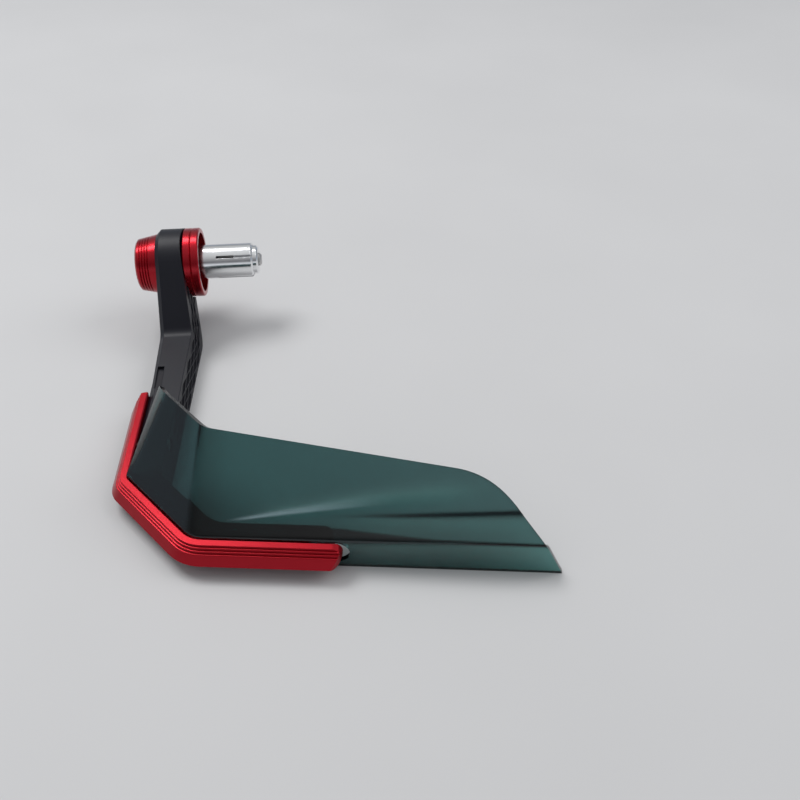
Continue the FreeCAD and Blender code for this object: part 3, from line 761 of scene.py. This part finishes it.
slot_half = SLOT_HEIGHT / 2.0
from_middle = np.abs(front - (SLOT_START + SLOT_END) / 2.0)
past_straight = np.maximum(0.0, from_middle - ((SLOT_END - SLOT_START) / 2.0 - slot_half))
slot_reach = np.sqrt(np.maximum(0.0, slot_half ** 2 - past_straight ** 2))
lower_rim = length_at_height(SLOT_MIDDLE - slot_reach)
upper_rim = length_at_height(SLOT_MIDDLE + slot_reach)
notched = length_at_height(np.full_like(u, NOTCH_HEIGHT))
start_length = np.where(u < edge_end - JUST_BEFORE / 2, notched, 0.0)

bend_end = FOOT_BEND_POINTS
low_start = bend_end + 1
low_end = bend_end + CREASE_BEND_POINTS
high_start = low_end + 1
high_end = low_end + CREASE_BEND_POINTS
under_slot = spread(start_length, lower_rim, UNDER_SLOT_ROWS)
over_slot = spread(upper_rim, length[:, bend_end], OVER_SLOT_ROWS)
lower_panel = spread(length[:, bend_end], length[:, low_start], LOWER_PANEL_ROWS)[:, 1:-1]
across_step = spread(length[:, low_end], length[:, high_start], STEP_ROWS)[:, 1:-1]
step_rows = np.hstack([length[:, low_start:high_start], across_step, length[:, high_start:high_end]])
panel_end = np.maximum(end_length, length[:, high_end])
upper_panel = spread(length[:, high_end], panel_end, UPPER_PANEL_ROWS)
rows = np.concatenate([under_slot, over_slot, lower_panel, step_rows, upper_panel], axis=1)
rows = np.clip(rows, start_length[:, None], np.maximum(end_length, start_length)[:, None])
grid = in_space(at_length(rows))
print("grid of the sheet:", grid.shape[:2])

# %% [markdown]
# Forming leaves a shallow ridge that fans out over the panel from the fold, and light catches on it. Its
# section is a bell curve, which meets the panel with no edge. The curve's width grows along the sheet and
# its height with it, so the flanks keep one steepness.

# %% Shallow ridge on the panel
RIDGE_ENDS = (16.0, 106.0)
RIDGE_LINE = (20.5, 35.0)
RIDGE_WIDTH = (1.6, 4.6)
RIDGE_FULL = 34.0
RIDGE_FADE = (84.0, 116.0)
RIDGE_STEEPNESS = 0.3

ridge_line = np.interp(front, RIDGE_ENDS, RIDGE_LINE)
ridge_width = np.interp(front, RIDGE_ENDS, RIDGE_WIDTH)
ridge_share = smooth_step(front, RIDGE_ENDS[0], RIDGE_FULL) * (1.0 - smooth_step(front, *RIDGE_FADE))
from_ridge = (rows - ridge_line[:, None]) / ridge_width[:, None]
# The same bell curve shapes the ridge and paints a highlight on it: the colour is paler along the ridge.
by_ridge = ridge_share[:, None] * np.exp(-from_ridge ** 2)
grid[:, :, 2] += RIDGE_STEEPNESS * ridge_width[:, None] * by_ridge
print("ridge at most", (RIDGE_STEEPNESS * ridge_width * ridge_share).max().round(2), "mm high")

# %% [markdown]
# The painted light and shade need to know where a point lies. At the bend over the foot and at the crease,
# light takes a longer way through the sheet and it shows dark reflections, so it looks almost black there.
# This
# shade is painted into the colour: a dark wedge that runs out along the bend, and a line that grows along
# the crease. Each edge is an S curve. Places are lengths along the front run, in millimetres, and so are
# widths up the section.

# %% Painted shade: dark wedge at the bend, and dark crease
WEDGE_PLACES = (40.0, 55.0, 89.0, 134.0)
WEDGE_WIDTHS = (5.2, 4.6, 0.9, 0.5)
WEDGE_LOWER_EDGE = (-1.1, -0.4)
WEDGE_UPPER_EDGE = (-0.5, 0.7)
WEDGE_START = (24.0, 40.0)
CREASE_LINE_PLACES = (60.0, 134.0)
CREASE_LINE_WIDTHS = (0.6, 1.7)
CREASE_LINE_START = (42.0, 84.0)


def show_cover(name, values):
    """Prints which share of the grid's points a number reaches, on average."""
    print(name, "covers", round(100.0 * values.mean(), 1), "% of the grid's points")


# Painted shade in the colour: a dark wedge over the bend.
bend_middle = length[:, (FOOT_BEND_POINTS + 1) // 2]
wedge_width = np.interp(front, WEDGE_PLACES, WEDGE_WIDTHS)
over_bend = rows - bend_middle[:, None]
past_wedge = smooth_step(over_bend - wedge_width[:, None], *WEDGE_UPPER_EDGE)
by_bend = smooth_step(over_bend, *WEDGE_LOWER_EDGE) * (1.0 - past_wedge)
by_bend *= smooth_step(front, *WEDGE_START)[:, None]
show_cover("bend_shade", by_bend)

# Painted shade in the colour: a dark line along the crease.
step_middle = (length[:, low_start] + length[:, high_end]) / 2.0
over_step = rows - step_middle[:, None]
crease_line_width = np.interp(front, CREASE_LINE_PLACES, CREASE_LINE_WIDTHS)
by_step = np.exp(-(over_step / crease_line_width[:, None]) ** 2)
by_step *= smooth_step(front, *CREASE_LINE_START)[:, None]
show_cover("crease", by_step)

# %% [markdown]
# The slanting part gets painted shade too: light takes a longer way through it, and the black arm and the
# floor in shadow stand close behind it. Along the foot of the tip the colour gets painted light: it is
# paler there, for the brighter floor that shows through the sheet.

# %% Painted shade on the slant, painted light at the tip
SLANT_FADE = (4.0, 10.0)
TIP_START = (45.0, 75.0)
TIP_EDGE = (-1.0, 1.0)
TIP_UNDER_STEP = 0.4
TIP_UNDER_BEND = 0.6

# Painted shade over the slanting part.
past_slant = smooth_step(u, fold_start + SLANT_FADE[0], fold_end + SLANT_FADE[1])
by_slant = np.broadcast_to(1.0 - past_slant[:, None], rows.shape)
show_cover("slant_shade", by_slant)

# Painted light along the foot of the tip.
under_step = 1.0 - smooth_step(over_step, *TIP_EDGE)
under_bend = 1.0 - smooth_step(over_bend, *TIP_EDGE)
painted_foot_light = TIP_UNDER_STEP * under_step + TIP_UNDER_BEND * under_bend
by_tip = smooth_step(front, *TIP_START)[:, None] * painted_foot_light
show_cover("tip", by_tip)

# %% [markdown]
# Where the ridge starts, a painted highlight lies along it: a pale streak that stands for the reflection
# of the light on the ridge. It has a sharp lower edge, and fans out and fades towards the tip.

# %% Painted highlight streak
STREAK_ENDS = (14.0, 85.0)
STREAK_LINE = (19.7, 28.6)
STREAK_PLACES = (14.0, 60.0, 100.0)
STREAK_WIDTHS = (1.0, 5.0, 9.0)
STREAK_LOWER_EDGE = (-0.5, 0.3)
STREAK_UPPER_EDGE = (0.1, 1.0)
STREAK_START = (11.0, 22.0)
STREAK_FADE = (12.0, 76.0)

# Painted highlight in the colour: a pale streak along the start of the ridge.
streak_line = np.interp(front, STREAK_ENDS, STREAK_LINE)
streak_width = np.interp(front, STREAK_PLACES, STREAK_WIDTHS)
over_streak = rows - streak_line[:, None]
past_streak = smooth_step(over_streak / streak_width[:, None], *STREAK_UPPER_EDGE)
by_streak = smooth_step(over_streak, *STREAK_LOWER_EDGE) * (1.0 - past_streak)
by_streak *= (smooth_step(front, *STREAK_START) * (1.0 - smooth_step(front, *STREAK_FADE)))[:, None]
show_cover("streak_highlight", by_streak)

# %% [markdown]
# A grid becomes a mesh when neighbouring points are joined by quads. Rows that were cut at the outline lie
# on each other there, so such points are welded.

# %% From a grid to a mesh
MERGE_DISTANCE = 2e-6
CLOSED_UP = 1e-6


def surface_mesh(name, points, open_after=None):
    """Object from a grid of points in metres: each cell of the grid is one quad.

    No quads follow the rows whose numbers are in open_after.
    """
    count = points.shape[1]
    index = np.arange(points.shape[0] * count).reshape(points.shape[:2])
    quads = np.stack([index[:-1, :-1], index[1:, :-1], index[1:, 1:], index[:-1, 1:]], axis=-1)
    if open_after is not None:
        quads = np.delete(quads, open_after, axis=1)
    mesh = bpy.data.meshes.new(name)
    mesh.from_pydata(points.reshape(-1, 3).tolist(), [], quads.reshape(-1, 4).tolist())
    piece = bpy.data.objects.new(name, mesh)
    bpy.context.scene.collection.objects.link(piece)
    return piece


def remember(piece, name, values):
    """Keeps one number for each point of the grid with the mesh."""
    piece.data.attributes.new(name, "FLOAT", "POINT").data.foreach_set("value", values.ravel())


def weld(piece):
    """Joins points that lie on each other and drops cells that closed up, then shades smooth."""
    work = bmesh.new()
    work.from_mesh(piece.data)
    bmesh.ops.remove_doubles(work, verts=work.verts, dist=MERGE_DISTANCE)
    bmesh.ops.dissolve_degenerate(work, edges=work.edges, dist=CLOSED_UP)
    work.to_mesh(piece.data)
    work.free()
    piece.data.polygons.foreach_set("use_smooth", np.ones(len(piece.data.polygons), bool))


print("mesh tools ready")

# %% [markdown]
# The grid is the sheet's outer face, and its mesh keeps the numbers for the painted light and shade in its
# colour. A Solidify modifier gives the wall its thickness and closes the cut edges, and a narrow Bevel
# takes the sharpness off them, as filing does.

# %% Mesh of the sheet
WALL = 2.0
RIM_ROUND = 0.3
RIM_ANGLE = 60.0

deflector = surface_mesh("deflector_sheet", grid * MM, open_after=UNDER_SLOT_ROWS - 1)
remember(deflector, "by_bend", by_bend)
remember(deflector, "by_step", by_step)
remember(deflector, "by_slant", by_slant)
remember(deflector, "by_tip", by_tip)
remember(deflector, "by_ridge", by_ridge)
remember(deflector, "by_streak", by_streak)
weld(deflector)

wall = deflector.modifiers.new("wall", "SOLIDIFY")
wall.thickness = WALL * MM
wall.offset = -1.0
wall.material_offset_rim = 1
rim = deflector.modifiers.new("rim", "BEVEL")
rim.width = RIM_ROUND * MM
rim.segments = 2
rim.limit_method = "ANGLE"
rim.angle_limit = math.radians(RIM_ANGLE)
rim.harden_normals = True
deflector.data.materials.append(smoked_sheet)
deflector.data.materials.append(smoked_edge)
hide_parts("wind_deflector")
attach(deflector, "root")
print("sheet faces before its wall:", len(deflector.data.polygons))

# %% [markdown]
# ## Rail screws
# Three short screws hold the rail to the arm, and their heads show on the arm's inner side. The CAD solid
# has plain heads. A real one has a rounded rim and a hexagon socket, so here a screw is a row of rings
# round its axis, from the end of the shank up to the head and down into the socket: circles outside, and
# hexagons in the socket.

# %% Rings of a screw
HEAD_RADIUS = 2.75
HEAD_HEIGHT = 1.8
HEAD_ROUND = 0.35
ROUND_MIDDLE = 0.3
SHANK_RADIUS = 1.5
SOCKET_FLATS = 2.5
SOCKET_DEPTH = 1.2
SOCKET_CHAMFER = 0.12
RING_POINTS = 49


def screw_rings(face, facing_plan, screw_length):
    """Rings of a screw from the middle of its head's face: radius by angle, and depth under the face.

    A hexagon's radius is half its width over flats, divided by the cosine of the angle from the middle
    of the nearest flat.
    """
    angle = np.linspace(0.0, 2.0 * np.pi, RING_POINTS)
    circle = np.ones_like(angle)
    socket = SOCKET_FLATS / 2.0 / np.cos(angle % (np.pi / 3.0) - np.pi / 6.0)
    rings = [
        (0.0 * circle, screw_length),
        (SHANK_RADIUS * circle, screw_length),
        (SHANK_RADIUS * circle, HEAD_HEIGHT),
        (HEAD_RADIUS * circle, HEAD_HEIGHT),
        (HEAD_RADIUS * circle, HEAD_ROUND),
        ((HEAD_RADIUS - ROUND_MIDDLE * HEAD_ROUND) * circle, ROUND_MIDDLE * HEAD_ROUND),
        ((HEAD_RADIUS - HEAD_ROUND) * circle, 0.0),
        (socket + SOCKET_CHAMFER, 0.0),
        (socket, SOCKET_CHAMFER),
        (socket, SOCKET_DEPTH),
        (0.0 * circle, SOCKET_DEPTH),
    ]
    axis = np.append(facing_plan, 0.0)
    up = np.array([0.0, 0.0, 1.0])
    across = np.cos(angle)[:, None] * up + np.sin(angle)[:, None] * np.cross(axis, up)
    radius = np.stack([ring for ring, depth in rings], axis=1)
    depth = np.array([depth for ring, depth in rings])
    return np.array(face) + radius[:, :, None] * across[:, None] - depth[:, None] * axis


print("width over the socket's corners:", round(2.0 * SOCKET_FLATS / math.sqrt(3.0), 2), "mm")

# %% [markdown]
# The screws stand square to the side, the slant and the front of the arm. All three are one piece, since
# they are one node in the CAD. Their edges are marked sharp, so that smooth shading stops there.

# %% Set of three screws
SHARP_ANGLE = 30.0

# For each screw: the middle of its head's face, the way the head faces in plan, and the screw's length.
side_in = inward(np.array([-side_slope, -1.0]) / math.hypot(side_slope, 1.0))
screw_places = [
    ((-8.10, -100.46, -22.3), side_in, 17.01),
    ((-0.35, -129.96, -22.3), slant_in, 14.63),
    ((52.89, -150.51, -23.9), front_in, 10.14),
]

screw_grids = [screw_rings(*place) for place in screw_places]
ring_count = screw_grids[0].shape[1]
screw_ends = [ring_count - 1, 2 * ring_count - 1]
screws = surface_mesh("rail_screw_set", np.concatenate(screw_grids, axis=1) * MM, open_after=screw_ends)
weld(screws)
screws.data.set_sharp_from_angle(angle=math.radians(SHARP_ANGLE))
screws.data.materials.append(plated_steel)
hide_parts("rail_screws")
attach(screws, "root")
print("screws:", len(screw_grids), "with", len(screws.data.polygons), "faces")

# %% [markdown]
# ## Dress the CAD pieces
# The arm, the rail and the turned pieces have the right form already, so each keeps its mesh and only
# gets its material.

# %% Assign materials
finishes = {
    "guard_arm": moulded_nylon,
    "guard_bar": red_blasted,
    "spacer_ring": red_turned,
    "bar_end_cap": red_turned,
    "expander_sleeve": polished_aluminium,
    "cone_nut": polished_aluminium,
    "clamp_bolt": plated_steel,
}
for name, material in finishes.items():
    mesh = nodes[name].data
    mesh.materials.clear()
    mesh.materials.append(material)
print("dressed", len(finishes), "pieces")

# %% [markdown]
# ## Floor
# A plain pale floor catches the soft shadow. One flat tone would look drawn, so tone and gloss drift a
# little over it. It reaches so far that no view shows where it ends.

# %% Pale floor
FLOOR_SIZE = 40.0

floor_z = cad_box[0].z


def floor_surface(point, axes):
    """Pale tone and gloss that follow slow clouds."""
    cloud = noise(point, 160.0)
    return {
        "Base Color": colour_between(cloud, (0.565, 0.565, 0.57), (0.625, 0.625, 0.63)),
        "Roughness": 0.55 + 0.1 * cloud,
    }


def flat_grid(size, z):
    """Corners of a square of side size at height z: x and y are minus half and half of it."""
    ends = np.array([-size / 2, size / 2])
    x, y = np.meshgrid(ends, ends, indexing="ij")
    return np.stack([x, y, np.full_like(x, z)], axis=-1)


floor = surface_mesh("floor", flat_grid(FLOOR_SIZE, floor_z))
floor.data.materials.append(finish("pale_floor", floor_surface, {}))
print("floor at", round(floor_z / MM, 1), "mm")

# %% [markdown]
# ## Lamps
# Two wide lamps stand round the guard as in a small studio. The key lamp is high up, behind it and to the
# left: its reflection stays off most of the level faces, and the shadows fall softly to the front right.
# The second one, on the right, lifts the shaded flanks.

# %% Two soft lamps
LAMP_DISTANCE = 1.3
KEY_WAY = Vector((-0.38, 0.36, 0.85))
SIDE_WAY = Vector((0.72, 0.05, 0.69))

centre = (cad_box[0] + cad_box[1]) / 2


def soft_lamp(name, way, width, height, power):
    """Rectangular lamp at the lamps' distance from the guard's centre, some way off, facing it."""
    place = centre + LAMP_DISTANCE * way
    data = bpy.data.lights.new(name, "AREA")
    data.shape = "RECTANGLE"
    data.size = width
    data.size_y = height
    data.energy = power
    lamp = bpy.data.objects.new(name, data)
    lamp.location = place
    lamp.rotation_mode = "QUATERNION"
    lamp.rotation_quaternion = (centre - place).to_track_quat("-Z", "Y")
    bpy.context.scene.collection.objects.link(lamp)
    return lamp


key_lamp = soft_lamp("key", KEY_WAY, 0.7, 0.5, 8.2)
side_lamp = soft_lamp("side", SIDE_WAY, 0.8, 0.8, 4.5)
for lamp in (key_lamp, side_lamp):
    lamp_place = [round(c, 2) for c in lamp.location]
    print(lamp.name, "lamp of", round(lamp.data.energy, 1), "W at", lamp_place, "m")

# %% [markdown]
# ## Room
# Polished metal and the smoked sheet show what stands round them, so the world is a plain room and not
# one grey. A world's texture coordinate is a direction: its y tells the front wall, which is paler, from
# the back wall, and its z leads from the walls to a ceiling that gets brighter overhead.

# %% Walls and ceiling
BACK_WALL = (0.33, 0.37, 0.43, 1.0)
FRONT_WALL = (0.80, 0.82, 0.86, 1.0)
CEILING_STOPS = [
    (0.0, (0.08, 0.08, 0.09)),
    (0.3, (0.13, 0.13, 0.14)),
    (0.9, (0.66, 0.67, 0.68)),
]

world = bpy.data.worlds.new("studio")
world.use_nodes = True
background = next(n for n in world.node_tree.nodes if n.type == "BACKGROUND")
room_tree = Wire(world.node_tree)
direction = room_tree.make("ShaderNodeTexCoord")
back, up = (room_tree.make("ShaderNodeSeparateXYZ", None, {"Vector": direction}, i) for i in (1, 2))
brightness = 0.1 + 0.8 * up + 0.15 * back
ceiling = room_tree.make("ShaderNodeValToRGB", {"stops": CEILING_STOPS}, {"Fac": brightness})
walls = mixed(-1.0 * back - 0.1, BACK_WALL, FRONT_WALL)
studio = mixed(4.0 * up - 0.6, walls, ceiling)
world.node_tree.links.new(studio.socket, background.inputs["Color"])
bpy.context.scene.world = world
print("world of", len(world.node_tree.nodes), "nodes")

# %% [markdown]
# ## Camera
# The camera looks down on the guard from the front. Its place and its focal length, in pixels of a square
# picture, were found from the corners of the guard itself, so that they fall where the photograph has
# them.

# %% Camera of the photograph
FOCAL_PIXELS = 861.3
IMAGE_PIXELS = 800
SENSOR_WIDTH = 36.0
CAMERA_PLACE = Vector((62.55, -355.07, 224.67))
CAMERA_LOOK = Vector((0.0653, 0.741, -0.6684))

camera_data = bpy.data.cameras.new("camera")
camera_data.sensor_width = SENSOR_WIDTH
camera_data.lens = camera_data.sensor_width * FOCAL_PIXELS / IMAGE_PIXELS
camera_data.clip_start = 0.01
camera = bpy.data.objects.new("camera", camera_data)
camera.location = CAMERA_PLACE * MM
camera.rotation_mode = "QUATERNION"
camera.rotation_quaternion = CAMERA_LOOK.to_track_quat("-Z", "Y")
bpy.context.scene.collection.objects.link(camera)
bpy.context.scene.camera = camera
bpy.context.scene.view_settings.view_transform = "Standard"
print("lens of", round(camera_data.lens, 1), "mm")
